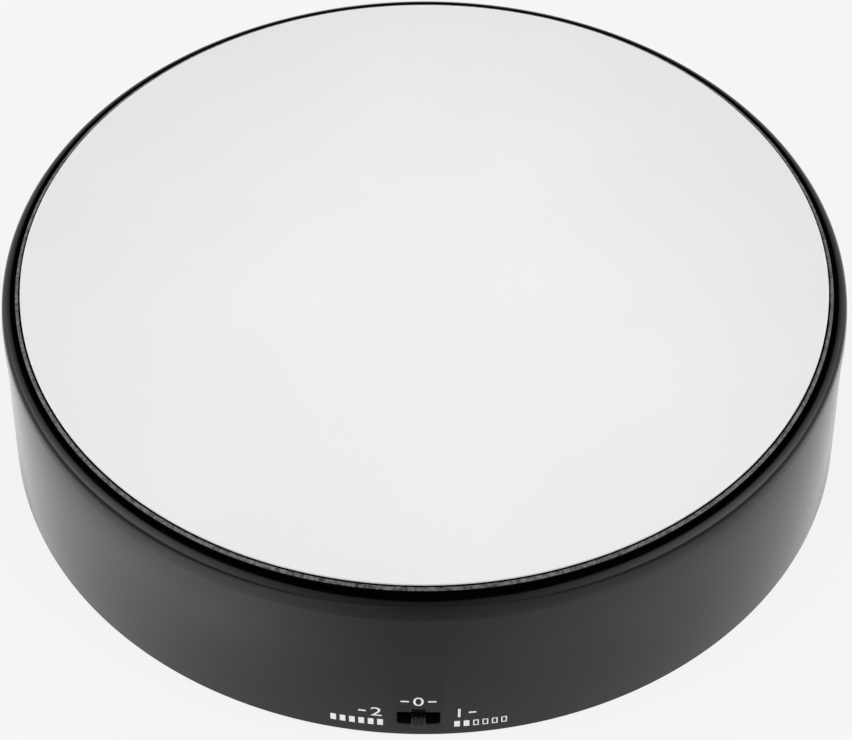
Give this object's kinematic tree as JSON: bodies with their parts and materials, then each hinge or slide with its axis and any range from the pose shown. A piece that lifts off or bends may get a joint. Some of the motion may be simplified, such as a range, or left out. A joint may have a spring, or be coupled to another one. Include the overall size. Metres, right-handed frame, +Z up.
{
  "type": "turntable display stand",
  "caption": "Low round battery display stand with a flat white top on a turning black platter and a slide switch in its fixed base.",
  "frame": {"origin": "centre of the object on the plane that its rubber feet stand on", "axes": "+Z up along the platter's axis of rotation, -Y towards the slide switch at the front, +X to the right of someone facing the switch"},
  "size_m": [0.2, 0.201, 0.0494],
  "materials": {
    "platter_black": "high-gloss injection-moulded black plastic",
    "sheet_white": "smooth satin white plastic sheet",
    "shell_black": "fine satin moulded black plastic",
    "foot_rubber": "matt black rubber",
    "gear_white": "natural acetal",
    "frame_grey": "dark grey moulded plastic",
    "switch_black": "black moulded plastic",
    "steel": "nickel-plated steel",
    "brass": "turned brass",
    "copper_winding": "lacquered copper winding on a steel core",
    "magnet_grey": "grey ferrite",
    "cell_jacket": "printed film over steel",
    "wire_red": "PVC insulation",
    "wire_black": "PVC insulation",
    "wire_yellow": "PVC insulation",
    "resistor_body": "lacquered ceramic"
  },
  "bodies": {
    "base": {"motor_can": "steel", "motor_magnet": "magnet_grey", "motor_end_cap": "switch_black", "gearbox_tray": "frame_grey", "gearbox_lid": "frame_grey", "gear_pin_c": "steel", "gear_pin_b": "steel", "gear_pin_a": "steel", "shaft_bush_lower": "brass", "shaft_bush_upper": "brass", "gearbox_screw_1": "steel", "gearbox_screw_2": "steel", "gearbox_screw_3": "steel", "gearbox_screw_4": "steel", "base_shell": "shell_black", "roller_axle_1": "steel", "roller_axle_2": "steel", "roller_axle_3": "steel", "roller_axle_4": "steel", "bottom_cover": "shell_black", "foot_1": "foot_rubber", "foot_2": "foot_rubber", "foot_3": "foot_rubber", "foot_4": "foot_rubber", "cover_screw_1": "steel", "cover_screw_2": "steel", "cover_screw_3": "steel", "cover_screw_4": "steel", "cell_1": "cell_jacket", "cell_2": "cell_jacket", "cell_3": "cell_jacket", "contact_positive": "steel", "contact_bridge_right": "steel", "contact_bridge_left": "steel", "contact_negative": "steel", "switch_body": "switch_black", "switch_frame": "steel", "speed_resistor": "resistor_body", "wire_red": "wire_red", "wire_black": "wire_black", "wire_yellow": "wire_yellow"},
    "platter": {"platter": "platter_black", "top_sheet": "sheet_white", "drive_shaft": "steel", "shaft_clip": "steel", "hub_screw": "steel", "output_gear": "gear_white"},
    "gear_c": {"gear_c": "gear_white"},
    "gear_b": {"gear_b": "gear_white"},
    "gear_a": {"gear_a": "gear_white"},
    "rotor": {"motor_rotor": "copper_winding", "motor_pinion": "brass"},
    "switch_slider": {"switch_knob": "switch_black"},
    "battery_door": {"battery_door": "shell_black"},
    "roller_1": {"roller_1": "gear_white"},
    "roller_2": {"roller_2": "gear_white"},
    "roller_3": {"roller_3": "gear_white"},
    "roller_4": {"roller_4": "gear_white"}
  },
  "joints": [
    {"name": "platter_spin", "type": "hinge", "parent": "base", "child": "platter", "pos_m": [0, 0, 0.045], "axis": [0, 0, 1], "continuous": true},
    {"name": "gear_c_spin", "type": "hinge", "parent": "base", "child": "gear_c", "pos_m": [-0.02078, -0.012, 0.0272], "axis": [0, 0, 1], "continuous": true},
    {"name": "gear_b_spin", "type": "hinge", "parent": "base", "child": "gear_b", "pos_m": [-0.01023, -0.02707, 0.0236], "axis": [0, 0, 1], "continuous": true},
    {"name": "gear_a_spin", "type": "hinge", "parent": "base", "child": "gear_a", "pos_m": [0.00727, -0.02707, 0.02], "axis": [0, 0, 1], "continuous": true},
    {"name": "motor_spin", "type": "hinge", "parent": "base", "child": "rotor", "pos_m": [0.02067, -0.01582, 0.012], "axis": [0, 0, 1], "continuous": true},
    {"name": "roller_1_spin", "type": "hinge", "parent": "base", "child": "roller_1", "pos_m": [0.05515, 0.05515, 0.0412], "axis": [0.7071, 0.7071, 0], "continuous": true},
    {"name": "roller_2_spin", "type": "hinge", "parent": "base", "child": "roller_2", "pos_m": [-0.05515, 0.05515, 0.0412], "axis": [-0.7071, 0.7071, 0], "continuous": true},
    {"name": "roller_3_spin", "type": "hinge", "parent": "base", "child": "roller_3", "pos_m": [-0.05515, -0.05515, 0.0412], "axis": [-0.7071, -0.7071, 0], "continuous": true},
    {"name": "roller_4_spin", "type": "hinge", "parent": "base", "child": "roller_4", "pos_m": [0.05515, -0.05515, 0.0412], "axis": [0.7071, -0.7071, 0], "continuous": true},
    {"name": "switch_slide", "type": "slide", "parent": "base", "child": "switch_slider", "axis": [1, 0, 0], "range_m": [-0.0028, 0.0028]},
    {"name": "battery_door_hinge", "type": "hinge", "parent": "base", "child": "battery_door", "pos_m": [0, 0.0309, 0.0022], "axis": [-1, 0, 0], "range_deg": [0, 100]}
  ],
  "couplings": [
    {"joint": "gear_c_spin", "follows": "platter_spin", "ratio": -4},
    {"joint": "gear_b_spin", "follows": "platter_spin", "ratio": 14.4},
    {"joint": "gear_a_spin", "follows": "platter_spin", "ratio": -57.6},
    {"joint": "motor_spin", "follows": "platter_spin", "ratio": 230.4},
    {"joint": "roller_1_spin", "follows": "platter_spin", "ratio": -18.571},
    {"joint": "roller_2_spin", "follows": "platter_spin", "ratio": -18.571},
    {"joint": "roller_3_spin", "follows": "platter_spin", "ratio": -18.571},
    {"joint": "roller_4_spin", "follows": "platter_spin", "ratio": -18.571}
  ]
}
